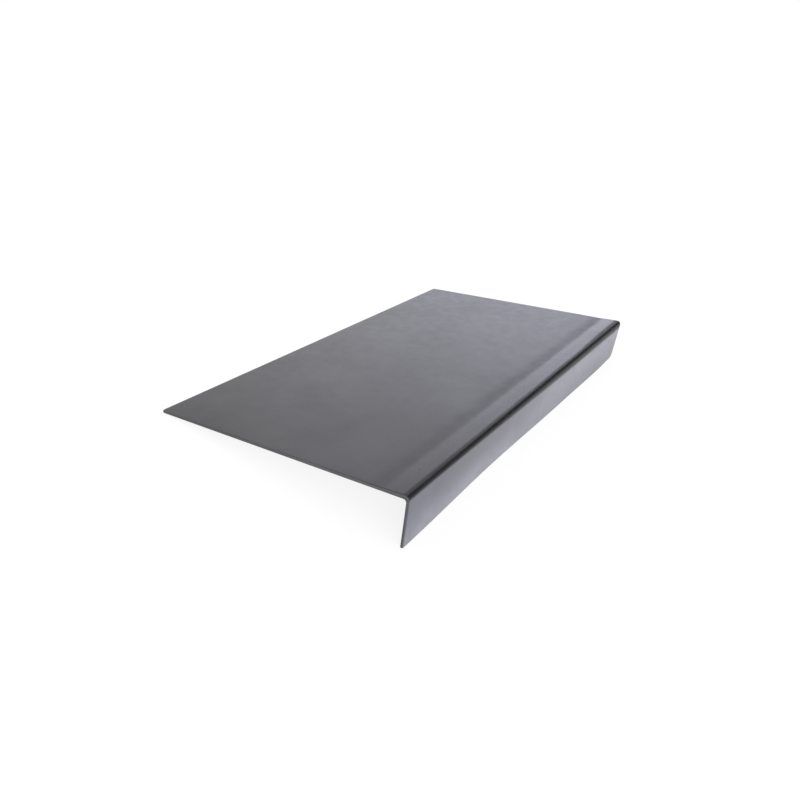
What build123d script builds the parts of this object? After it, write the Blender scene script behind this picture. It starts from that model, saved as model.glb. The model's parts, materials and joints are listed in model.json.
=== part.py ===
from build123d import *
import os
from math import asin, atan2, cos, degrees, pi, radians, sin, tan

# Rubber stair tread, moulded as one piece and cut square to its length.
# It is a flat sheet that thins towards its back edge, with a shallow hollow and a raised band
# along the nose, a rounded nose corner and a thinner flap that hangs in front and leans back.
# It lies unheld on a level floor, on the toe of the flap and on its back edge.
# X runs along the nose, the nose faces -Y and +Z is up. All lengths are in millimetres.

os.makedirs("parts", exist_ok=True)

# Overall sizes
length = 561.0  # along the nose, from one cut end to the other
depth = 311.15  # from the front of the nose to the back edge
nose_height = 56.2  # from the top of the nose to the toe of the flap

# The sheet
back_gauge = 2.0  # thickness at the back edge
front_gauge = 3.8  # thickness where the sheet begins to dip
back_edge_radius = 0.5

# The shallow hollow and the raised band, each placed by its distance from the front of the nose
dip_reach = 53.0
hollow_reach = 32.5
crest_reach = 17.5
hollow_gauge = 3.5  # thickness at the bottom of the hollow, before it is rounded out
band_slope = 0.5  # degrees that the band rises from its crest to the nose corner
dip_radius = 600.0
hollow_radius = 150.0
crest_radius = 150.0

# The nose corner and the flap
nose_gauge = 4.5  # thickness of the band at the nose corner
nose_radius = 4.8
inner_radius = 3.0
flap_lean = 6.7  # degrees that the outer face leans back from square to the sheet
flap_root = 3.0  # thickness of the flap at the level of the underside
flap_toe = 2.8  # thickness of the flap at its lower edge
toe_radius = 0.8

# The four free corners: two at the back edge and two at the toe
corner_radius = 3.0

# The section, with its X from the back edge to the nose and its Y up from the underside
lean = radians(flap_lean)
slope = radians(band_slope)
half_corner = (pi / 2 - lean - slope) / 2
toe_level = nose_gauge - nose_height
corner_overshoot = nose_radius * (cos(slope + half_corner) / sin(half_corner) - 1)


def outer_face(level):
    """How far forward the outer face of the flap lies at a level of the section."""
    return depth + corner_overshoot - (nose_gauge - level) * tan(lean)


def largest_blend(before, corner, after):
    """The largest radius for which a shallow corner has room between the two beside it."""
    to_before, to_after = Vector(*before) - Vector(*corner), Vector(*after) - Vector(*corner)
    turn = pi - radians(to_before.get_angle(to_after))
    return 0.45 * min(to_before.length, to_after.length) / tan(turn / 2)


back_edge_blend = min(back_edge_radius, 0.45 * back_gauge)
toe_blend = min(toe_radius, 0.45 * flap_toe)

band_length = outer_face(nose_gauge) - (depth - crest_reach)
top = [
    (outer_face(nose_gauge), nose_gauge),
    (depth - crest_reach, nose_gauge - band_length * tan(slope)),
    (depth - hollow_reach, hollow_gauge),
    (depth - dip_reach, front_gauge),
    (0, back_gauge),
]
top_blends = [
    min(radius, largest_blend(*trio))
    for radius, trio in zip([crest_radius, hollow_radius, dip_radius], zip(top, top[1:], top[2:]))
]

corners = [
    ((0, 0), back_edge_blend),
    ((outer_face(0) - flap_root / cos(lean), 0), inner_radius),
    ((outer_face(toe_level) - flap_toe / cos(lean), toe_level), toe_blend),
    ((outer_face(toe_level), toe_level), toe_blend),
    (top[0], nose_radius),
    *zip(top[1:-1], top_blends),
    (top[-1], back_edge_blend),
]

with BuildSketch() as section:
    with BuildLine():
        FilletPolyline(
            *[point for point, radius in corners],
            radius=[radius for point, radius in corners],
            close=True,
        )
    make_face()

# How it lies: the rounding under the back edge and a rounding of the toe touch the floor
rounded = section.edges().filter_by(GeomType.CIRCLE)
back_arc = rounded.sort_by(Axis.X)[:2].sort_by(Axis.Y)[0]
toe_arcs = rounded.sort_by(Axis.Y)[:2]


def tilt_onto(toe_arc):
    """The tilt, in radians, at which this rounding of the toe and the back edge are level."""
    reach = toe_arc.arc_center - back_arc.arc_center
    return asin((toe_arc.radius - back_arc.radius) / reach.length) - atan2(reach.Y, reach.X)


tilt = max(tilt_onto(toe_arc) for toe_arc in toe_arcs)
lying = section.sketch.rotate(Axis.Z, degrees(tilt)).bounding_box()
section_plane = Plane(
    origin=(0, lying.center().X, -lying.min.Y),
    x_dir=(0, -cos(tilt), sin(tilt)),
    z_dir=(-1, 0, 0),
)
sheet_plane = Plane(section_plane.origin, x_dir=(1, 0, 0), z_dir=section_plane.y_dir)
front_plane = Plane(section_plane.origin, x_dir=(1, 0, 0), z_dir=-section_plane.x_dir)

with BuildPart() as stair_tread:
    with BuildSketch(section_plane):
        add(section.sketch)
    extrude(amount=length / 2, both=True)

    # The two corners of the back edge, cut through the sheet
    with BuildSketch(sheet_plane) as sheet_outline:
        Rectangle(length, 2 * depth, align=(Align.CENTER, Align.MAX))
        fillet(sheet_outline.vertices().group_by(Axis.Y)[-1], corner_radius)
    extrude(amount=2 * nose_height, both=True, mode=Mode.INTERSECT)

    # The two corners of the toe, cut through the flap
    with BuildSketch(front_plane) as front_outline:
        with Locations((0, toe_level)):
            Rectangle(length, 2 * nose_height, align=(Align.CENTER, Align.MIN))
        fillet(front_outline.vertices().group_by(Axis.Y)[0], corner_radius)
    extrude(amount=2 * depth, both=True, mode=Mode.INTERSECT)

stair_tread.part.label = "stair_tread"
export_step(stair_tread.part, "parts/stair_tread.step")
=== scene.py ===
"""Finish, studio and camera for a rubber stair tread.

The tread is one moulded piece: a flat sheet with a shallow hollow before the nose, a low band along the
nose corner, and a flap that hangs in front. It lies on the toe of the flap and on its back edge. The
piece is modelled in the frame of its own section, where X runs along the nose, Y from the nose to the
back edge and Z up from the underside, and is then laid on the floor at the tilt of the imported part.
"""

import json
import logging
import math
from contextlib import contextmanager
from dataclasses import dataclass, field
from enum import Enum
from typing import Callable, Iterator

import bmesh
import bpy
from mathutils import Matrix, Vector


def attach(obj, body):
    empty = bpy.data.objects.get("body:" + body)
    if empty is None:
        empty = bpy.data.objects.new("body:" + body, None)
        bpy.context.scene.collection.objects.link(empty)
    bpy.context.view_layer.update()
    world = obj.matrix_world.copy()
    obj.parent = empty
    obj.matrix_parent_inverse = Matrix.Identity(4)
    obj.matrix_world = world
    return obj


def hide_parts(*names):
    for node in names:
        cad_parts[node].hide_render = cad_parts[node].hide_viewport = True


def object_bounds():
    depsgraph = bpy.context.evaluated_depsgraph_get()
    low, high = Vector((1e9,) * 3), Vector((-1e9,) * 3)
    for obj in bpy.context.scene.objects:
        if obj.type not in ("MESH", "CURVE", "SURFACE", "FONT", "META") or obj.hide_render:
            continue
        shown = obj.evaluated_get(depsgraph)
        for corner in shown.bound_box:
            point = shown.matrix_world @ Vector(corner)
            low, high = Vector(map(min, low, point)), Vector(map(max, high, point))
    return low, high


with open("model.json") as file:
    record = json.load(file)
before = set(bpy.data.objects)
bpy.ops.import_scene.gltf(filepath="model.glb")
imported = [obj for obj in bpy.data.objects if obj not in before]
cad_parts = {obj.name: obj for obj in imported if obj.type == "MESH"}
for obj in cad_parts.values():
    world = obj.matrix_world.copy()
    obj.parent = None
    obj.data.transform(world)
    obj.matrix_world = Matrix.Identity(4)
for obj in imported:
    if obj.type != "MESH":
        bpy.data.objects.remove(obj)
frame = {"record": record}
cad_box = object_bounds()

logging.basicConfig(level=logging.INFO, format="%(message)s")
log = logging.getLogger("stair_tread")

Colour = tuple[float, float, float, float]
Span = tuple[float, float]
Socket = bpy.types.NodeSocket
MILLIMETRE = 0.001
NODE = "stair_tread"


def linear(red: float, green: float, blue: float) -> Colour:
    """Turns a screen colour into the linear colour that shaders take.

    Args:
        red: The red part, from 0 to 255.
        green: The green part, from 0 to 255.
        blue: The blue part, from 0 to 255.

    Returns:
        The linear red, green and blue, and an alpha of one.
    """

    def part(value: float) -> float:
        """Turns one part of the colour."""
        share = value / 255
        return share / 12.92 if share <= 0.04045 else ((share + 0.055) / 1.055) ** 2.4

    return part(red), part(green), part(blue), 1.0


def grey(level: float) -> Colour:
    """A neutral linear colour of a level, where 1 is white."""
    return level, level, level, 1.0


def ease(share: float) -> float:
    """Turns a share from 0 to 1 into one that starts and ends slowly."""
    return share * share * (3 - 2 * share)


@contextmanager
def edit_mode(piece: bpy.types.Object, pick: str = "EDGE") -> Iterator[bmesh.types.BMesh]:
    """Opens a piece in edit mode with nothing selected, and closes it again.

    Args:
        piece: The object to edit.
        pick: What the operators act on, VERT, EDGE or FACE.

    Yields:
        The piece's mesh, open for editing.
    """
    bpy.context.view_layer.objects.active = piece
    bpy.ops.object.mode_set(mode="EDIT")
    bpy.ops.mesh.select_mode(type=pick)
    bpy.ops.mesh.select_all(action="DESELECT")
    yield bmesh.from_edit_mesh(piece.data)
    bpy.ops.object.mode_set(mode="OBJECT")


def select_edges(form: bmesh.types.BMesh, wanted: Callable[[Vector, Vector], bool]) -> None:
    """Selects the edges whose two ends pass a test.

    Args:
        form: The open mesh.
        wanted: A test of the two ends of an edge.
    """
    for edge in form.edges:
        if wanted(edge.verts[0].co, edge.verts[1].co):
            edge.select_set(True)


def apply_modifier(piece: bpy.types.Object, modifier: bpy.types.Modifier) -> None:
    """Applies one modifier of a piece."""
    bpy.context.view_layer.objects.active = piece
    bpy.ops.object.modifier_apply(modifier=modifier.name)


class Surface(Enum):
    """The surfaces of the tread, in the order of its material slots."""

    SKIN = 0
    CUT_END = 1
    UNDERSIDE = 2


@dataclass(frozen=True)
class Corner:
    """One corner of the section, in metres.

    Attributes:
        forward: Distance from the back edge towards the nose.
        level: Height over the plane of the underside.
        radius: Radius that the corner is rounded to in the section, or none for one rounded later.
        segments: Number of straight steps that the rounding has.
    """

    forward: float
    level: float
    radius: float = 0.0
    segments: int = 1

    def place(self) -> Vector:
        """The corner's place in the frame of the section, at the middle of the length."""
        return Vector((0, -self.forward, self.level))


@dataclass(frozen=True)
class Section:
    """Sizes of the moulded section, in metres and degrees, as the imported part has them."""

    depth: float = 311.15 * MILLIMETRE
    nose_height: float = 56.2 * MILLIMETRE
    back_gauge: float = 2.0 * MILLIMETRE
    front_gauge: float = 3.8 * MILLIMETRE
    back_edge_radius: float = 0.5 * MILLIMETRE
    dip_reach: float = 53.0 * MILLIMETRE
    hollow_reach: float = 32.5 * MILLIMETRE
    crest_reach: float = 17.5 * MILLIMETRE
    hollow_gauge: float = 3.5 * MILLIMETRE
    band_slope: float = 0.5
    dip_radius: float = 600.0 * MILLIMETRE
    hollow_radius: float = 150.0 * MILLIMETRE
    crest_radius: float = 150.0 * MILLIMETRE
    nose_gauge: float = 4.5 * MILLIMETRE
    nose_radius: float = 4.8 * MILLIMETRE
    inner_radius: float = 3.0 * MILLIMETRE
    flap_lean: float = 6.7
    flap_root: float = 3.0 * MILLIMETRE
    flap_toe: float = 2.8 * MILLIMETRE
    toe_radius: float = 0.8 * MILLIMETRE

    @property
    def lean(self) -> float:
        """The lean of the flap's outer face, in radians."""
        return math.radians(self.flap_lean)

    @property
    def slope(self) -> float:
        """The slope at which the band rises to the nose corner, in radians."""
        return math.radians(self.band_slope)

    @property
    def half_corner(self) -> float:
        """Half the angle between the band and the outer face of the flap, in radians."""
        return (math.pi / 2 - self.lean - self.slope) / 2

    @property
    def toe_level(self) -> float:
        """The level of the flap's lower edge."""
        return self.nose_gauge - self.nose_height

    def outer_face(self, level: float) -> float:
        """How far forward the outer face of the flap lies.

        Args:
            level: The level to measure at.

        Returns:
            The distance from the back edge, in metres.
        """
        turn = self.slope + self.half_corner
        overshoot = self.nose_radius * (math.cos(turn) / math.sin(self.half_corner) - 1)
        return self.depth + overshoot - (self.nose_gauge - level) * math.tan(self.lean)

    def inner_face(self, level: float) -> float:
        """How far forward the inner face of the flap lies at the underside or at the toe."""
        gauge = self.flap_root if level == 0 else self.flap_toe
        return self.outer_face(level) - gauge / math.cos(self.lean)

    def corners(self) -> list[Corner]:
        """The corners of the section, from the back edge along the underside and back over the top.

        Returns:
            The corners, in order.
        """
        nose = self.outer_face(self.nose_gauge)
        crest = self.depth - self.crest_reach
        crest_level = self.nose_gauge - (nose - crest) * math.tan(self.slope)
        return [
            Corner(0, 0),
            Corner(self.inner_face(0), 0, self.inner_radius, 8),
            Corner(self.inner_face(self.toe_level), self.toe_level),
            Corner(self.outer_face(self.toe_level), self.toe_level),
            Corner(nose, self.nose_gauge, self.nose_radius, 16),
            Corner(crest, crest_level, self.crest_radius, 4),
            Corner(self.depth - self.hollow_reach, self.hollow_gauge, self.hollow_radius, 6),
            Corner(self.depth - self.dip_reach, self.front_gauge, self.dip_radius, 4),
            Corner(0, self.back_gauge),
        ]

    def run_in(self, index: int) -> float:
        """How far from a corner its rounding begins, along the two edges that meet there.

        Args:
            index: The corner's place in the list of corners.

        Returns:
            The distance, in metres.
        """
        corners = self.corners()
        here = corners[index]
        before = corners[index - 1].place() - here.place()
        after = corners[(index + 1) % len(corners)].place() - here.place()
        return here.radius / math.tan(before.angle(after) / 2)

    def nose_centre(self) -> Vector:
        """The centre of the nose rounding, in the frame of the section.

        Returns:
            Its place at the middle of the length.
        """
        level = self.nose_gauge
        reach = self.nose_radius / math.sin(self.half_corner)
        turn = self.slope + self.half_corner
        return Vector((0, -self.outer_face(level) + reach * math.cos(turn), level - reach * math.sin(turn)))


@dataclass(frozen=True)
class Lie:
    """How the tread lies on the floor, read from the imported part's underside.

    Attributes:
        tilt: The turn about X from the section's frame to the floor's, in radians.
        origin: Where the section's origin lies, at the foot of the back edge.
    """

    tilt: float
    origin: Vector

    @classmethod
    def of_part(cls, section: Section) -> "Lie":
        """Works out the tilt, and where the section's own origin lies.

        Args:
            section: The sizes of the section.

        Returns:
            The lie of the tread.
        """
        underside = next(m for m in frame["record"]["mounts"] if m["name"] == "underside")
        axis = Vector(underside["axis"])
        tilt = math.atan2(axis.y, -axis.z)
        flat_end = section.inner_face(0) - section.run_in(1)
        centre = Vector((0, -(section.back_edge_radius + flat_end) / 2, 0))
        turned = Matrix.Rotation(tilt, 3, "X") @ centre
        return cls(tilt, Vector(underside["pos_m"]) - turned)

    def matrix(self) -> Matrix:
        """The matrix that lays a piece from the section's frame onto the floor."""
        return Matrix.Translation(self.origin) @ Matrix.Rotation(self.tilt, 4, "X")


@dataclass(frozen=True)
class FreeCorner:
    """One of the four free corners, which are trimmed by hand and so aren't alike.

    Attributes:
        far: Whether it is at the far end.
        toe: Whether it is at the toe of the flap, and not at the back edge.
        radius: The radius that it is rounded to, in metres.
    """

    far: bool
    toe: bool
    radius: float


FREE_CORNERS = (
    FreeCorner(far=False, toe=False, radius=4.5 * MILLIMETRE),
    FreeCorner(far=True, toe=False, radius=3.0 * MILLIMETRE),
    FreeCorner(far=False, toe=True, radius=1.0 * MILLIMETRE),
    FreeCorner(far=True, toe=True, radius=8.0 * MILLIMETRE),
)


@dataclass(frozen=True)
class FlapWave:
    """How the free edge of the flap waves in and out along the length.

    Attributes:
        turns: Places along the length as shares from the near end, each with how far the toe is tucked
            in there, in metres. The wave eases from each to the next.
        bend: The power by which the tuck grows from the inner corner to the toe.
    """

    turns: tuple[tuple[float, float], ...] = (
        (0.00, 0.4 * MILLIMETRE),
        (0.32, 2.8 * MILLIMETRE),
        (0.66, 0.9 * MILLIMETRE),
        (0.88, 0.0 * MILLIMETRE),
        (1.00, 1.2 * MILLIMETRE),
    )
    bend: float = 1.3

    def tuck(self, share: float, drop: float) -> float:
        """How far a point of the flap is moved towards the riser.

        Args:
            share: Its place along the length, from 0 at the near end to 1.
            drop: Its place down the flap, from 0 at the underside to 1 at the toe.

        Returns:
            The distance, in metres.
        """
        for (start, first), (end, second) in zip(self.turns, self.turns[1:]):
            if share <= end:
                along = ease(max(0.0, (share - start) / (end - start)))
                return (first + (second - first) * along) * drop**self.bend
        return self.turns[-1][1] * drop**self.bend


@dataclass
class StairTread:
    """The tread itself: its mesh in the frame of the section, laid on the floor and dressed.

    Attributes:
        section: The sizes of the section.
        wave: How the free edge of the flap waves.
        length: The length along the nose, in metres.
        strip: About how wide the strips are that the sheet is cut into for an even mesh.
        flap_strips: How many strips of the flap are as wide as one of the sheet.
        corner_segments: Number of straight steps in the rounding of a free corner.
        corner_room: Width left uncut beside the ends and the toe, past the largest free corner.
        edge_radius: Radius of the soft edges.
        edge_segments: Number of straight steps in the rounding of an edge.
        smooth_angle: The turn between two faces past which their edge is sharp, in radians.
        hair: How far a place may lie off an edge and still count as on it.
    """

    section: Section = field(default_factory=Section)
    wave: FlapWave = field(default_factory=FlapWave)
    length: float = cad_box[1].x - cad_box[0].x
    strip: float = 6.0 * MILLIMETRE
    flap_strips: int = 2
    corner_segments: int = 6
    corner_room: float = 9.0 * MILLIMETRE
    edge_radius: float = 0.5 * MILLIMETRE
    edge_segments: int = 3
    smooth_angle: float = math.radians(50)
    hair: float = 0.1 * MILLIMETRE

    def build(self, lie: Lie) -> bpy.types.Object:
        """Models the tread and lays it on the floor.

        Args:
            lie: How the tread lies.

        Returns:
            The finished object, with its place in its mesh.
        """
        piece = self.section_face()
        self.round_section(piece)
        self.draw_out(piece)
        self.dress(piece)
        self.round_free_corners(piece)
        self.soften_edges(piece)
        self.cut_strips(piece)
        self.wave_flap(piece, lie)
        piece.matrix_world = lie.matrix()
        bpy.ops.object.select_all(action="DESELECT")
        piece.select_set(True)
        bpy.context.view_layer.objects.active = piece
        bpy.ops.object.transform_apply(location=True, rotation=True, scale=True)
        self.keep_in_box(piece)
        bpy.ops.object.shade_smooth_by_angle(angle=self.smooth_angle)
        even = piece.modifiers.new("even_shading", "WEIGHTED_NORMAL")
        even.keep_sharp = True
        apply_modifier(piece, even)
        return piece

    def section_face(self) -> bpy.types.Object:
        """Makes the section as one flat face with sharp corners, at the near end.

        Returns:
            The piece.
        """
        corners = self.section.corners()
        bpy.ops.object.select_all(action="DESELECT")
        bpy.ops.mesh.primitive_circle_add(
            vertices=len(corners), radius=self.section.nose_height, fill_type="NGON"
        )
        piece = bpy.context.object
        piece.name = "rubber_tread"
        piece.data.name = "rubber_tread"
        near_end = Vector((-self.length / 2, 0, 0))
        with edit_mode(piece, "VERT") as form:
            form.verts.ensure_lookup_table()
            for vertex, corner in zip(form.verts, corners):
                vertex.co = near_end + corner.place()
        return piece

    def round_section(self, piece: bpy.types.Object) -> None:
        """Rounds the inner corner, the nose, the band's crest, the hollow and its far side.

        Args:
            piece: The flat section.
        """
        for index, corner in enumerate(self.section.corners()):
            if not corner.radius:
                continue
            with edit_mode(piece, "VERT") as form:
                place = corner.place()
                nearest = min(form.verts, key=lambda vertex: (vertex.co.yz - place.yz).length)
                nearest.select_set(True)
                bpy.ops.mesh.bevel(
                    offset_type="OFFSET",
                    offset=self.section.run_in(index),
                    segments=corner.segments,
                    affect="VERTICES",
                    clamp_overlap=False,
                )

    def draw_out(self, piece: bpy.types.Object) -> None:
        """Extrudes the section to the length of the tread.

        Args:
            piece: The flat section.
        """
        with edit_mode(piece, "FACE"):
            bpy.ops.mesh.select_all(action="SELECT")
            bpy.ops.mesh.extrude_region_move(TRANSFORM_OT_translate={"value": (self.length, 0, 0)})
            bpy.ops.mesh.select_all(action="SELECT")
            bpy.ops.mesh.normals_make_consistent(inside=False)

    def dress(self, piece: bpy.types.Object) -> None:
        """Gives every face the finish of its surface, while the piece is a plain prism.

        Args:
            piece: The prism.
        """
        trees = (SectionZones().group(), rubber_grain(), mottling(), dust(), knife_marks())
        groups = {tree.name: tree for tree in trees}
        for surface in Surface:
            piece.data.materials.append(FINISHES[surface].material(groups))
        for face in piece.data.polygons:
            face.material_index = self.surface_of(face).value

    def surface_of(self, face: bpy.types.MeshPolygon) -> Surface:
        """Tells which surface a face of the plain prism belongs to.

        Args:
            face: The face.

        Returns:
            Its surface.
        """
        section, normal, place = self.section, face.normal, face.center
        if abs(normal.x) > max(abs(normal.y), abs(normal.z)):
            return Surface.CUT_END
        hidden = section.toe_level + section.toe_radius < place.z < self.hair
        if normal.y > normal.z and hidden and place.y < -section.back_edge_radius:
            return Surface.UNDERSIDE
        return Surface.SKIN

    def round_free_corners(self, piece: bpy.types.Object) -> None:
        """Rounds the two corners of the back edge and the two corners of the toe.

        Args:
            piece: The prism.
        """
        end = self.length / 2 - self.hair
        for corner in FREE_CORNERS:
            side = 1 if corner.far else -1

            def here(place: Vector) -> bool:
                """True for a place on the short edge across the thickness at this corner."""
                off = place.z - self.section.toe_level if corner.toe else place.y
                return place.x * side > end and abs(off) < self.hair

            with edit_mode(piece) as form:
                select_edges(form, lambda a, b: here(a) and here(b))
                bpy.ops.mesh.bevel(
                    offset_type="OFFSET",
                    offset=corner.radius,
                    segments=self.corner_segments,
                    affect="EDGES",
                    clamp_overlap=False,
                )

    def soften_edges(self, piece: bpy.types.Object) -> None:
        """Rounds the sharp edges by one width, since unequal widths fold the mesh along the nose.

        Args:
            piece: The prism with rounded corners.
        """
        bevel = piece.modifiers.new("soft_edges", "BEVEL")
        bevel.limit_method = "ANGLE"
        bevel.angle_limit = self.smooth_angle
        bevel.width = self.edge_radius
        bevel.segments = self.edge_segments
        bevel.use_clamp_overlap = False
        apply_modifier(piece, bevel)

    def cut_strips(self, piece: bpy.types.Object) -> None:
        """Cuts the long faces into even strips, so that the flap can wave and the mesh is even.

        Args:
            piece: The piece to cut.
        """
        section = self.section
        free = self.length - 2 * self.corner_room
        along = round(free / self.strip)
        for step in range(along + 1):
            self.cut(piece, Vector((free * (step / along - 0.5), 0, 0)), Vector((1, 0, 0)))
        sheet = section.depth - section.dip_reach - 2 * self.strip
        across = round(sheet / self.strip)
        for step in range(1, across):
            self.cut(piece, Vector((0, -sheet * step / across, 0)), Vector((0, 1, 0)))
        flap = abs(section.toe_level) - section.inner_radius - self.corner_room
        down = round(flap / self.strip) * self.flap_strips
        for step in range(down + 1):
            self.cut(piece, Vector((0, 0, -section.inner_radius - flap * step / down)), Vector((0, 0, 1)))

    def cut(self, piece: bpy.types.Object, place: Vector, normal: Vector) -> None:
        """Cuts the whole piece by one plane, with nothing removed.

        Args:
            piece: The piece to cut.
            place: A place on the plane.
            normal: The direction square to the plane.
        """
        with edit_mode(piece, "FACE"):
            bpy.ops.mesh.select_all(action="SELECT")
            bpy.ops.mesh.bisect(plane_co=place, plane_no=normal)

    def wave_flap(self, piece: bpy.types.Object, lie: Lie) -> None:
        """Moves the flap in along the floor by its wave, with its toe still on the floor.

        Args:
            piece: The piece, in the frame of the section.
            lie: How the tread lies.
        """
        along_floor = Matrix.Rotation(-lie.tilt, 3, "X") @ Vector((0, 1, 0))
        for vertex in piece.data.vertices:
            if vertex.co.z < 0 and -vertex.co.y > self.section.depth / 2:
                share = vertex.co.x / self.length + 0.5
                drop = min(1.0, vertex.co.z / self.section.toe_level)
                vertex.co += along_floor * self.wave.tuck(share, drop)

    def keep_in_box(self, piece: bpy.types.Object) -> None:
        """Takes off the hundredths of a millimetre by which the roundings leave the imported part's box.

        Args:
            piece: The piece, laid on the floor.
        """
        places = [vertex.co for vertex in piece.data.vertices]
        for axis in range(3):
            low, high = min(place[axis] for place in places), max(place[axis] for place in places)
            start = max(low, cad_box[0][axis])
            share = (min(high, cad_box[1][axis]) - start) / (high - low)
            for place in places:
                place[axis] = start + (place[axis] - low) * share


class Wiring:
    """Adds shader nodes to one tree and joins them.

    Attributes:
        tree: The node tree of a material, a world or a group.
        MIX_INPUTS: Places of the share and the two colours among the inputs of a Mix node.
        MIX_RESULT: Place of the mixed colour among its outputs.
    """

    MIX_INPUTS = (0, 6, 7)
    MIX_RESULT = 2

    def __init__(self, tree: bpy.types.NodeTree) -> None:
        """Keeps the tree.

        Args:
            tree: The node tree of a material, a world or a group.
        """
        self.tree = tree

    def add(self, kind: str, **settings: object) -> bpy.types.Node:
        """Adds a node.

        Args:
            kind: The node's type, without its leading ShaderNode.
            settings: Properties to set on it.

        Returns:
            The node.
        """
        node = self.tree.nodes.new("ShaderNode" + kind)
        for name, value in settings.items():
            setattr(node, name, value)
        return node

    def feed(self, socket: Socket, source: object) -> None:
        """Links a socket to another socket, or sets its value.

        Args:
            socket: The socket to feed.
            source: The other socket, or the value.
        """
        if isinstance(source, Socket):
            self.tree.links.new(source, socket)
        else:
            socket.default_value = source

    def math(self, operation: str, *inputs: object, clamp: bool = False) -> Socket:
        """Adds a Math node.

        Args:
            operation: What it does.
            inputs: Its inputs, each a socket or a number.
            clamp: Whether the result is kept from 0 to 1.

        Returns:
            Its output.
        """
        node = self.add("Math", operation=operation, use_clamp=clamp)
        for socket, source in zip(node.inputs, inputs):
            self.feed(socket, source)
        return node.outputs[0]

    def ramp(
        self, value: object, low: object, high: object, start: object = 0, end: object = 1, soft: bool = True
    ) -> Socket:
        """Turns a value from one range into another.

        Args:
            value: The value.
            low: The value at which the result is start.
            high: The value at which the result is end.
            start: The result below the range.
            end: The result above it.
            soft: Whether the change starts and ends slowly.

        Returns:
            The result's socket.
        """
        node = self.add("MapRange", interpolation_type="SMOOTHSTEP" if soft else "LINEAR")
        for socket, source in zip(node.inputs, (value, low, high, start, end)):
            self.feed(socket, source)
        return node.outputs["Result"]

    def mix(self, share: object, first: object, second: object, blend: str = "MIX") -> Socket:
        """Mixes two colours.

        Args:
            share: How much of the second colour is taken.
            first: The first colour.
            second: The second colour.
            blend: The kind of mix.

        Returns:
            The mixed colour.
        """
        node = self.add("Mix", data_type="RGBA", blend_type=blend)
        for place, source in zip(self.MIX_INPUTS, (share, first, second)):
            self.feed(node.inputs[place], source)
        return node.outputs[self.MIX_RESULT]


def effect(name: str, inputs: dict[str, str], outputs: dict[str, str]) -> tuple[Wiring, dict, dict]:
    """Starts a node group that the finishes share.

    Args:
        name: Name of the group.
        inputs: Each input's name, with its socket type.
        outputs: Each output's name, with its socket type.

    Returns:
        The group's wiring, its inputs' sockets and its outputs' sockets, by name.
    """
    tree = bpy.data.node_groups.new(name, "ShaderNodeTree")
    for way, sockets in (("INPUT", inputs), ("OUTPUT", outputs)):
        for socket, kind in sockets.items():
            tree.interface.new_socket(socket, in_out=way, socket_type="NodeSocket" + kind)
    start, end = tree.nodes.new("NodeGroupInput"), tree.nodes.new("NodeGroupOutput")
    return Wiring(tree), dict(start.outputs.items()), dict(end.inputs.items())


def noise(
    wiring: Wiring, place: object, size: float, detail: float = 2.0, stretch: tuple = (1, 1, 1)
) -> Socket:
    """Adds a noise of a real size.

    Args:
        wiring: The tree to add to.
        place: The place on the piece.
        size: Size of the largest blotches, in metres.
        detail: How many finer noises it holds.
        stretch: How much longer the blotches are along X, Y and Z.

    Returns:
        The noise, from 0 to 1.
    """
    scaled = wiring.add("VectorMath", operation="DIVIDE")
    wiring.feed(scaled.inputs[0], place)
    scaled.inputs[1].default_value = stretch
    node = wiring.add("TexNoise")
    wiring.feed(node.inputs["Vector"], scaled.outputs[0])
    node.inputs["Scale"].default_value = 1 / size
    node.inputs["Detail"].default_value = detail
    return node.outputs[0]


@dataclass(frozen=True)
class Blotches:
    """Soft blotches of a real size, from which a tone, a sheen or a share is made.

    Attributes:
        size: Size of the largest blotches, in metres.
        detail: How many finer noises they hold.
        span: The levels of the noise between which the result changes.
        result: The result below and above these levels.
    """

    size: float
    detail: float
    span: Span
    result: Span

    def spread(self, wiring: Wiring, place: Socket) -> Socket:
        """Adds the blotches, and gives their result."""
        return wiring.ramp(noise(wiring, place, self.size, self.detail), *self.span, *self.result)


@dataclass(frozen=True)
class Lumps:
    """One layer of the relief of a surface.

    Attributes:
        size: Size of the largest lumps, in metres.
        detail: How many finer noises they hold.
        height: Their height, as a share of the depth of the bump.
        stretch: How much longer they are along X, Y and Z.
    """

    size: float
    detail: float
    height: float
    stretch: tuple[float, float, float] = (1, 1, 1)


def relief(wiring: Wiring, place: Socket, layers: tuple[Lumps, ...]) -> Socket:
    """Adds up the layers of a relief.

    Args:
        wiring: The tree to add to.
        place: The place on the piece.
        layers: The layers.

    Returns:
        The height of the relief.
    """
    total: object = 0.0
    for layer in layers:
        lumps = noise(wiring, place, layer.size, layer.detail, layer.stretch)
        total = wiring.math("ADD", total, wiring.math("MULTIPLY", lumps, layer.height))
    return total


GRAIN_LAYERS = (
    Lumps(0.9 * MILLIMETRE, 2, 0.04),
    Lumps(4.5 * MILLIMETRE, 2, 0.09),
    Lumps(75 * MILLIMETRE, 1, 1.3),
)
KNIFE_LAYERS = (
    Lumps(0.7 * MILLIMETRE, 2, 0.12, (1, 1, 12)),
    Lumps(6 * MILLIMETRE, 2, 0.2),
)
GRAIN_TONE = Blotches(0.9 * MILLIMETRE, 2, (0.25, 0.75), (0.93, 1.07))
CLOUD_TONE = Blotches(60 * MILLIMETRE, 3, (0.3, 0.7), (0.90, 1.10))
BLOTCH_TONE = Blotches(13 * MILLIMETRE, 3, (0.3, 0.7), (0.95, 1.05))
BLOTCH_SHEEN = Blotches(13 * MILLIMETRE, 3, (0.3, 0.7), (-0.03, 0.03))
DUST_FILM = Blotches(110 * MILLIMETRE, 4, (0.35, 0.75), (0.0, 0.06))
DUST_SPECKS = Blotches(1.6 * MILLIMETRE, 2, (0.66, 0.76), (0.0, 0.12))
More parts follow.
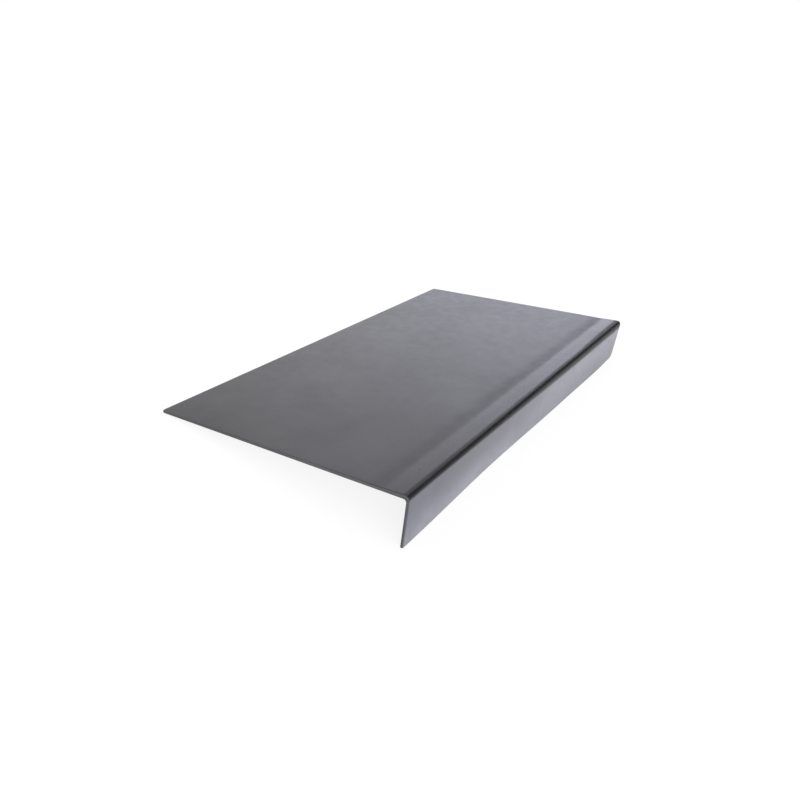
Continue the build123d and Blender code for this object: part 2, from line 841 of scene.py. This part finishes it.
# Patches of the painted sheen on the flap.
SHEEN_PATCHES = Blotches(11 * MILLIMETRE, 3, (0.32, 0.68), (0.85, 1.15))


@dataclass(frozen=True)
class Drift:
    """A size that changes along the length of the tread.

    Attributes:
        start: Where it begins to change, as a share of half the length from the middle.
        end: Where it has changed.
        near: The size before the start, in metres.
        far: The size past the end.
    """

    start: float
    end: float
    near: float
    far: float


class Whereabouts:
    """Where a shaded place lies in the section and along the tread, as sockets of a group.

    Attributes:
        wiring: The group's wiring.
        place: The place on the piece.
        lie: The matrix that lays the section's frame onto the floor.
        half: Half the length of the tread.
        sideways: How far the place lies from the middle of the length.
        forward: How far it lies ahead of the back edge.
        level: How high it lies over the plane of the underside.
    """

    def __init__(self, wiring: Wiring, place: Socket) -> None:
        """Adds the nodes that measure the place.

        Args:
            wiring: The group's wiring.
            place: The place on the piece.
        """
        self.wiring, self.place = wiring, place
        self.lie = Lie.of_part(SECTION).matrix()
        self.half = (cad_box[1].x - cad_box[0].x) / 2
        split = wiring.add("SeparateXYZ")
        wiring.feed(split.inputs[0], place)
        self.sideways = split.outputs["X"]
        self.forward = self.along(Vector((0, -1, 0)))
        self.level = self.along(Vector((0, 0, 1)))

    def along(self, axis: Vector) -> Socket:
        """Measures the place from the section's origin.

        Args:
            axis: The direction to measure in, in the frame of the section.

        Returns:
            The distance.
        """
        turned = self.lie.to_3x3() @ axis
        dot = self.wiring.add("VectorMath", operation="DOT_PRODUCT")
        self.wiring.feed(dot.inputs[0], self.place)
        dot.inputs[1].default_value = turned
        return self.wiring.math("SUBTRACT", dot.outputs["Value"], self.lie.translation.dot(turned))

    def drift(self, size: Drift) -> Socket:
        """The size at this place along the length."""
        start, end = size.start * self.half, size.end * self.half
        return self.wiring.ramp(self.sideways, start, end, size.near, size.far)

    def nose_reach(self, start: float, end: float) -> Socket:
        """Grows from 0 to 1 between two distances behind the front of the nose."""
        return self.wiring.ramp(self.forward, SECTION.depth - start, SECTION.depth - end)


@dataclass(frozen=True)
class SectionZones:
    """The zones of the skin, each told by where a place lies in the section and along the tread.

    Attributes:
        hollow: Distances behind the front of the nose between which the hollow's tone sets in.
        band: The same for the band, where the hollow's tone ends.
        band_sheen_span: Shares of half the length between which the band's tone, a painted sheen, grows from
            the near end.
        band_least: How much of the band's painted sheen is left at the near end.
        over_start: How far ahead of the nose's centre the painted shade along the nose, a dark line, sets in
            on the top.
        over_full: How far ahead of it the line is at its darkest.
        under_start: How far above the nose's centre the line sets in on the flap.
        under_full: How far above it the line is at its darkest.
        shine_ahead: Distances ahead of the nose's centre between which the line turns shiny.
        shine_above: Distances above it between which the line turns shiny.
        front: Distances behind the front of the nose between which the flap's tone, partly a pale haze and
            partly painted light and bluish sheen, sets in.
        flap_shift: How far the flap's tone ends below its usual level.
        flap_level: The level up to which the flap has its full tone, before that shift.
        sheen_turn: Shares of half the length between which the painted sheen moves up the flap.
        sheen_level: The level at which the painted sheen ends at the near end, and is strongest at the far
            end.
        sheen_near: How strong the painted sheen is at the toe and at that level, at the near end.
        sheen_far: The same at the far end.
        ends: Distances from a cut end between which the painted shade along its rounded edge sets in.
    """

    hollow: Span = (49 * MILLIMETRE, 34 * MILLIMETRE)
    band: Span = (30 * MILLIMETRE, 23 * MILLIMETRE)
    band_sheen_span: Span = (-1.0, -0.2)
    band_least: float = 0.2
    over_start: Drift = Drift(0.4, 0.85, -3.3 * MILLIMETRE, -6.5 * MILLIMETRE)
    over_full: Drift = Drift(0.4, 0.85, 0.8 * MILLIMETRE, -0.6 * MILLIMETRE)
    under_start: Drift = Drift(-0.9, 0.5, -1.5 * MILLIMETRE, -7.5 * MILLIMETRE)
    under_full: Drift = Drift(-0.9, 0.5, 3.2 * MILLIMETRE, -0.8 * MILLIMETRE)
    shine_ahead: Span = (0.5 * MILLIMETRE, 2.0 * MILLIMETRE)
    shine_above: Span = (1.2 * MILLIMETRE, 3.2 * MILLIMETRE)
    front: Span = (16 * MILLIMETRE, 12 * MILLIMETRE)
    flap_shift: Drift = Drift(-1.0, 0.5, -2.5 * MILLIMETRE, 3.0 * MILLIMETRE)
    flap_level: float = -3 * MILLIMETRE
    sheen_turn: Span = (-0.35, 0.45)
    sheen_level: float = -8 * MILLIMETRE
    sheen_near: Span = (1.0, 0.0)
    sheen_far: Span = (0.2, 0.85)
    ends: Span = (1.6 * MILLIMETRE, 0.5 * MILLIMETRE)

    def group(self) -> bpy.types.NodeTree:
        """Builds the group that tells the zones.

        Returns:
            The group. Each output is about 1 inside its zone and 0 outside.
        """
        names = ("Hollow", "Band", "PaintedNoseShade", "DullNoseShade", "Flap", "PaintedFlapSheen", "End")
        wiring, inputs, outputs = effect(
            "section_zones", {"Place": "Vector"}, {name: "Float" for name in names}
        )
        where = Whereabouts(wiring, inputs["Place"])
        zones = {**self.sheet_zones(where), **self.nose_zones(where), **self.flap_zones(where)}
        for name in names:
            wiring.feed(outputs[name], zones[name])
        return wiring.tree

    def sheet_zones(self, where: Whereabouts) -> dict[str, Socket]:
        """Tells the hollow, the band with its painted sheen, and the painted shade along the rims of the cut
        ends.

        Args:
            where: Where the place lies.

        Returns:
            The zones by name.
        """
        wiring, half = where.wiring, where.half
        band = where.nose_reach(*self.band)
        # The band's painted sheen grows from the near end towards the far end.
        low, high = self.band_sheen_span
        band_sheen = wiring.ramp(where.sideways, low * half, high * half, self.band_least, 1.0)
        # Painted shade: a dark rim along the rounded edges of the cut ends.
        off_middle = wiring.math("ABSOLUTE", where.sideways)
        low, high = self.ends
        return {
            "Band": wiring.math("MULTIPLY", band, band_sheen),
            "Hollow": wiring.math("SUBTRACT", where.nose_reach(*self.hollow), band, clamp=True),
            "End": wiring.ramp(off_middle, half - low, half - high),
        }

    def nose_zones(self, where: Whereabouts) -> dict[str, Socket]:
        """Tells the painted shade along the nose, a dark line for the dark reflection on its rounded corner,
        and where it is dull.

        Args:
            where: Where the place lies.

        Returns:
            The zones by name.
        """
        wiring, centre = where.wiring, SECTION.nose_centre()
        ahead = wiring.math("ADD", where.forward, centre.y)
        above = wiring.math("SUBTRACT", where.level, centre.z)
        over = wiring.ramp(ahead, where.drift(self.over_start), where.drift(self.over_full))
        under = wiring.ramp(above, where.drift(self.under_start), where.drift(self.under_full))
        # Painted shade: a dark line along the rounded nose corner, in place of its dark reflection.
        nose = wiring.math("MULTIPLY", over, under)
        shiny = wiring.math(
            "MULTIPLY", wiring.ramp(ahead, *self.shine_ahead), wiring.ramp(above, *self.shine_above)
        )
        return {"PaintedNoseShade": nose, "DullNoseShade": wiring.math("MULTIPLY", nose, wiring.math("SUBTRACT", 1.0, shiny))}

    def flap_zones(self, where: Whereabouts) -> dict[str, Socket]:
        """Tells the flap, partly a pale haze and partly painted light, and the painted sheen on it.

        Args:
            where: Where the place lies.

        Returns:
            The zones by name.
        """
        wiring = where.wiring
        # The flap's tone, partly painted light, ends at a level that drifts along the length.
        shifted = wiring.math("ADD", where.level, where.drift(self.flap_shift))
        down = wiring.ramp(shifted, self.flap_level, SECTION.nose_centre().z, 1, 0)
        flap = wiring.math("MULTIPLY", where.nose_reach(*self.front), down)
        # Painted sheen on the flap: strongest at the toe at the near end and high up at the far end, in
        # patches.
        near, far = (
            wiring.ramp(where.level, SECTION.toe_level, self.sheen_level, *strength)
            for strength in (self.sheen_near, self.sheen_far)
        )
        low, high = self.sheen_turn
        turned = wiring.ramp(where.sideways, low * where.half, high * where.half)
        patches = SHEEN_PATCHES.spread(wiring, where.place)
        painted_sheen = wiring.math("MULTIPLY", wiring.mix(turned, near, far), patches)
        return {"Flap": flap, "PaintedFlapSheen": wiring.math("MULTIPLY", flap, painted_sheen)}


def rubber_grain() -> bpy.types.NodeTree:
    """Builds the group for the moulded grain of the rubber.

    Returns:
        The group. Height is for a bump and Tone varies round 1.
    """
    wiring, inputs, outputs = effect(
        "rubber_grain", {"Place": "Vector"}, {"Height": "Float", "Tone": "Float"}
    )
    wiring.feed(outputs["Height"], relief(wiring, inputs["Place"], GRAIN_LAYERS))
    wiring.feed(outputs["Tone"], GRAIN_TONE.spread(wiring, inputs["Place"]))
    return wiring.tree


def mottling() -> bpy.types.NodeTree:
    """Builds the group for the cloudy tone of the rubber.

    Returns:
        The group. Tone varies round 1 and Sheen round 0.
    """
    wiring, inputs, outputs = effect("mottling", {"Place": "Vector"}, {"Tone": "Float", "Sheen": "Float"})
    wide, small = (tone.spread(wiring, inputs["Place"]) for tone in (CLOUD_TONE, BLOTCH_TONE))
    wiring.feed(outputs["Tone"], wiring.math("MULTIPLY", wide, small))
    wiring.feed(outputs["Sheen"], BLOTCH_SHEEN.spread(wiring, inputs["Place"]))
    return wiring.tree


def dust() -> bpy.types.NodeTree:
    """Builds the group for the fine pale dust that handling leaves on rubber.

    Returns:
        The group. Share is how much of a place is dusty.
    """
    wiring, inputs, outputs = effect("dust", {"Place": "Vector"}, {"Share": "Float"})
    film, specks = (share.spread(wiring, inputs["Place"]) for share in (DUST_FILM, DUST_SPECKS))
    wiring.feed(outputs["Share"], wiring.math("ADD", film, specks))
    return wiring.tree


def knife_marks() -> bpy.types.NodeTree:
    """Builds the group for the marks of the knife on a cut end, which run across the sheet.

    Returns:
        The group. Height is for a bump.
    """
    wiring, inputs, outputs = effect("knife_marks", {"Place": "Vector"}, {"Height": "Float"})
    wiring.feed(outputs["Height"], relief(wiring, inputs["Place"], KNIFE_LAYERS))
    return wiring.tree


@dataclass(frozen=True)
class RubberFinish:
    """One finish of the rubber.

    Attributes:
        name: Name of the material.
        colour: Colour of the clean rubber.
        roughness: Roughness of the surface.
        relief: How strongly the grain shows as a bump.
        dusty: How much of the dust shows.
        cut: Whether the surface is cut with a knife.
    """

    name: str
    colour: Colour
    roughness: float
    relief: float = 0.35
    dusty: float = 1.0
    cut: bool = False

    def material(self, groups: dict[str, bpy.types.NodeTree]) -> bpy.types.Material:
        """Builds the material.

        Args:
            groups: The shared node groups, by name.

        Returns:
            The material.
        """
        material = bpy.data.materials.new(self.name)
        material.use_nodes = True
        wiring = Wiring(material.node_tree)
        shader = material.node_tree.nodes["Principled BSDF"]
        place = wiring.add("TexCoord").outputs["Object"]

        def use(name: str) -> bpy.types.Node:
            """Adds one of the shared groups, fed with the place."""
            node = wiring.add("Group", node_tree=groups[name])
            wiring.feed(node.inputs["Place"], place)
            return node

        zones, grain, clouds = use("section_zones"), use("rubber_grain"), use("mottling")
        tone = wiring.math("MULTIPLY", grain.outputs["Tone"], clouds.outputs["Tone"])
        colour, roughness = self.colour, wiring.math("ADD", clouds.outputs["Sheen"], self.roughness)
        # The skin's zones are mixed over its colour; among them are painted shade along the nose and the cut
        # ends, and painted sheen on the band and the flap.
        if self is FINISHES[Surface.SKIN]:
            for zone in ZONES:
                share = zones.outputs[zone.name]
                colour = wiring.mix(wiring.math("MULTIPLY", share, zone.cover), colour, zone.colour)
                roughness = wiring.math(
                    "ADD", roughness, wiring.math("MULTIPLY", share, zone.rougher)
                )
        lit = wiring.add("VectorMath", operation="SCALE")
        wiring.feed(lit.inputs[0], colour[:3] if isinstance(colour, tuple) else colour)
        wiring.feed(lit.inputs["Scale"], tone)
        pale = wiring.math("MULTIPLY", use("dust").outputs["Share"], self.dusty)
        # Dust is kept off the painted shade along the nose.
        clear = wiring.math("SUBTRACT", 1.0, zones.outputs["PaintedNoseShade"])
        dusted = wiring.mix(wiring.math("MULTIPLY", pale, clear), lit.outputs[0], DUST)
        wiring.feed(shader.inputs["Base Color"], dusted)
        wiring.feed(shader.inputs["Roughness"], roughness)
        bump = wiring.add("Bump")
        bump.inputs["Strength"].default_value = self.relief
        bump.inputs["Distance"].default_value = MILLIMETRE
        wiring.feed(bump.inputs["Height"], (use("knife_marks") if self.cut else grain).outputs["Height"])
        wiring.feed(shader.inputs["Normal"], bump.outputs[0])
        return material


@dataclass(frozen=True)
class Zone:
    """How one zone of the skin differs from the sheet.

    Attributes:
        name: The zone's output in the group of the section's zones.
        colour: Its colour.
        cover: How much of its colour shows.
        rougher: How much rougher it is.
    """

    name: str
    colour: Colour
    cover: float
    rougher: float


SECTION = Section()
DUST = linear(150, 152, 156)

FINISHES = {
    Surface.SKIN: RubberFinish("moulded_skin", linear(50, 50, 52), 0.32),
    Surface.CUT_END: RubberFinish("knife_cut", linear(76, 76, 79), 0.6, relief=0.5, dusty=0.3, cut=True),
    Surface.UNDERSIDE: RubberFinish("buffed_underside", linear(72, 72, 74), 0.65, relief=0.8, dusty=1.4),
}
ZONES = (
    Zone("Hollow", linear(49, 49, 51), cover=1.0, rougher=0.10),
    # Painted sheen: the band paler and bluer, more so towards the far end.
    Zone("Band", linear(55, 55, 58), cover=1.0, rougher=-0.07),
    # Partly a pale haze, partly painted light and bluish sheen: the flap much paler than the top, as if lit
    # from the front.
    Zone("Flap", linear(95, 96, 106), cover=1.0, rougher=0.06),
    # Painted sheen: a pale bluish patchy tone for the grazing reflection on the flap.
    Zone("PaintedFlapSheen", linear(127, 129, 142), cover=1.0, rougher=0.0),
    # Painted shade: the dark line along the nose corner.
    Zone("PaintedNoseShade", linear(34, 34, 36), cover=1.0, rougher=0.0),
    # Painted shade: the duller, rougher part of the dark nose line.
    Zone("DullNoseShade", linear(32, 32, 34), cover=1.0, rougher=0.3),
    # Painted shade: a dark rim along the cut ends, where their rounded edges turn away.
    Zone("End", linear(34, 34, 36), cover=0.5, rougher=0.10),
)


@dataclass(frozen=True)
class SkyPatch:
    """A soft round patch of the surroundings that is brighter or darker than the rest.

    Attributes:
        towards: Direction of its middle.
        core: Angle from the middle up to which it has its full level, in degrees.
        edge: Angle from the middle past which it has no effect, in degrees.
        level: Its light level.
    """

    towards: tuple[float, float, float]
    core: float
    edge: float
    level: float

    def cover(self, wiring: Wiring, direction: Socket, level: object) -> Socket:
        """Lays the patch over a light level.

        Args:
            wiring: The world's tree.
            direction: The direction that is looked in.
            level: The level under the patch.

        Returns:
            The level with the patch.
        """
        towards = wiring.add("VectorMath", operation="DOT_PRODUCT")
        wiring.feed(towards.inputs[0], direction)
        towards.inputs[1].default_value = Vector(self.towards).normalized()
        edge, core = math.cos(math.radians(self.edge)), math.cos(math.radians(self.core))
        return wiring.ramp(towards.outputs["Value"], edge, core, level, self.level)


@dataclass(frozen=True)
class Viewpoint:
    """The camera, placed in the frame of the walking surface.

    Attributes:
        place: Where it stands, from the middle of the back edge, in metres.
        heading: The turn of its sight line from the nose's direction towards the back edge, in degrees.
        pitch: How far it looks down on the walking surface, in degrees.
        taper: The slope of the walking surface over the underside, in degrees.
        lens: Focal length for the sensor width, in millimetres.
        sensor: Width of the sensor, in millimetres.
        clip: The nearest and the farthest distance that it shows, in metres.
    """

    place: tuple[float, float, float] = (-0.72389, -0.59273, 0.32911)
    heading: float = 33.27
    pitch: float = 24.48
    taper: float = 0.405
    lens: float = 32.77
    sensor: float = 36.0
    clip: Span = (0.01, 200.0)

    def stand(self, section: Section, lie: Lie) -> bpy.types.Object:
        """Adds the camera, tilted as the walking surface is.

        Args:
            section: The sizes of the section.
            lie: How the tread lies.

        Returns:
            The camera.
        """
        surface = (
            lie.matrix()
            @ Matrix.Translation((0, 0, section.back_gauge))
            @ Matrix.Rotation(-math.radians(self.taper), 4, "X")
        )
        level = Matrix.Rotation(math.radians(self.heading - 90), 4, "Z") @ Matrix.Rotation(
            math.radians(90 - self.pitch), 4, "X"
        )
        bpy.ops.object.camera_add()
        camera = bpy.context.object
        camera.name = "camera"
        camera.data.lens = self.lens
        camera.data.sensor_width = self.sensor
        camera.data.clip_start, camera.data.clip_end = self.clip
        camera.matrix_world = surface @ Matrix.Translation(self.place) @ level
        bpy.context.scene.camera = camera
        return camera


@dataclass
class Studio:
    """The plain pale floor, the light and the camera.

    Attributes:
        floor_size: Side of the floor, in metres.
        floor_albedo: How much light the floor throws back onto the tread.
        shown_albedo: How much of the light and shadow on the floor the camera sees.
        shown_glow: The level that the camera sees on the floor without any light.
        near_tint: Tint of the light at the near end.
        far_tint: Tint of the light at the far end.
        sky_near: Level of the light towards the near end.
        sky_far: Level of the light towards the far end.
        sky_span: The X of the directions between which the light changes.
        patches: Parts of the sky that are brighter or darker.
    """

    floor_size: float = 60.0
    floor_albedo: float = 0.8
    shown_albedo: float = 0.18
    shown_glow: float = 0.86
    near_tint: Colour = (0.995, 0.985, 0.995, 1.0)
    far_tint: Colour = (0.95, 0.96, 1.11, 1.0)
    sky_near: float = 0.76
    sky_far: float = 1.9
    sky_span: Span = (0.5, 0.92)
    patches: tuple[SkyPatch, ...] = (
        SkyPatch((0.80, -0.42, 0.42), 24.0, 42.0, 0.1),
        SkyPatch((-0.60, -0.78, 0.20), 24.0, 40.0, 4.0),
    )

    def build(self, section: Section, lie: Lie) -> None:
        """Makes the floor, the world and the camera.

        Args:
            section: The sizes of the section.
            lie: How the tread lies.
        """
        self.lay_floor()
        self.light_world()
        Viewpoint().stand(section, lie)
        bpy.context.scene.view_settings.view_transform = "Standard"

    def lay_floor(self) -> None:
        """Lays the floor, which shows white to the camera and keeps the tread's shadow."""
        bpy.ops.mesh.primitive_plane_add(size=self.floor_size)
        floor = bpy.context.object
        floor.name = "floor"
        material = bpy.data.materials.new("floor_white")
        material.use_nodes = True
        material.node_tree.nodes.clear()
        wiring = Wiring(material.node_tree)
        plain = wiring.add("BsdfDiffuse")
        plain.inputs["Color"].default_value = grey(self.floor_albedo)
        pale = wiring.add("BsdfDiffuse")
        pale.inputs["Color"].default_value = grey(self.shown_albedo)
        glow = wiring.add("Emission")
        glow.inputs["Strength"].default_value = self.shown_glow
        shown = wiring.add("AddShader")
        wiring.feed(shown.inputs[0], pale.outputs[0])
        wiring.feed(shown.inputs[1], glow.outputs[0])
        out = wiring.add("OutputMaterial")
        wiring.feed(out.inputs["Surface"], choose(wiring, plain.outputs[0], shown.outputs[0], True))
        floor.data.materials.append(material)

    def light_world(self) -> None:
        """Lights the scene by a sky that grows brighter to the far end, and shows white to the camera."""
        world = bpy.data.worlds.new("studio")
        bpy.context.scene.world = world
        world.use_nodes = True
        world.node_tree.nodes.clear()
        wiring = Wiring(world.node_tree)
        direction = wiring.add("TexCoord").outputs["Generated"]
        split = wiring.add("SeparateXYZ")
        wiring.feed(split.inputs[0], direction)
        level = wiring.ramp(split.outputs["X"], *self.sky_span, self.sky_near, self.sky_far, soft=False)
        for patch in self.patches:
            level = patch.cover(wiring, direction, level)
        light = wiring.add("Background")
        share = wiring.ramp(split.outputs["X"], *self.sky_span)
        wiring.feed(light.inputs["Color"], wiring.mix(share, self.near_tint, self.far_tint))
        wiring.feed(light.inputs["Strength"], level)
        shown = wiring.add("Background")
        shown.inputs["Color"].default_value = grey(1.0)
        out = wiring.add("OutputWorld")
        wiring.feed(out.inputs["Surface"], choose(wiring, light.outputs[0], shown.outputs[0], False))


def choose(wiring: Wiring, lit: Socket, shown: Socket, glossy: bool) -> Socket:
    """Shows one shader to the camera and another to the light.

    Args:
        wiring: The tree to add to.
        lit: The shader that lights the scene.
        shown: The shader that the camera sees.
        glossy: Whether mirrored and bent rays see what the camera sees.

    Returns:
        The chosen shader's socket.
    """
    path = wiring.add("LightPath")
    share = path.outputs["Is Camera Ray"]
    if glossy:
        share = wiring.math("MAXIMUM", share, path.outputs["Is Glossy Ray"])
    share = wiring.math("MAXIMUM", share, path.outputs["Is Transmission Ray"])
    mixed = wiring.add("MixShader")
    wiring.feed(mixed.inputs[0], share)
    wiring.feed(mixed.inputs[1], lit)
    wiring.feed(mixed.inputs[2], shown)
    return mixed.outputs[0]


def main() -> None:
    """Builds the tread and the studio."""
    tread = StairTread()
    lie = Lie.of_part(tread.section)
    piece = tread.build(lie)
    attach(piece, "root")
    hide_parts(NODE)
    log.info("%s: %d faces", piece.name, len(piece.data.polygons))
    Studio().build(tread.section, lie)


if __name__ == "__main__":
    main()
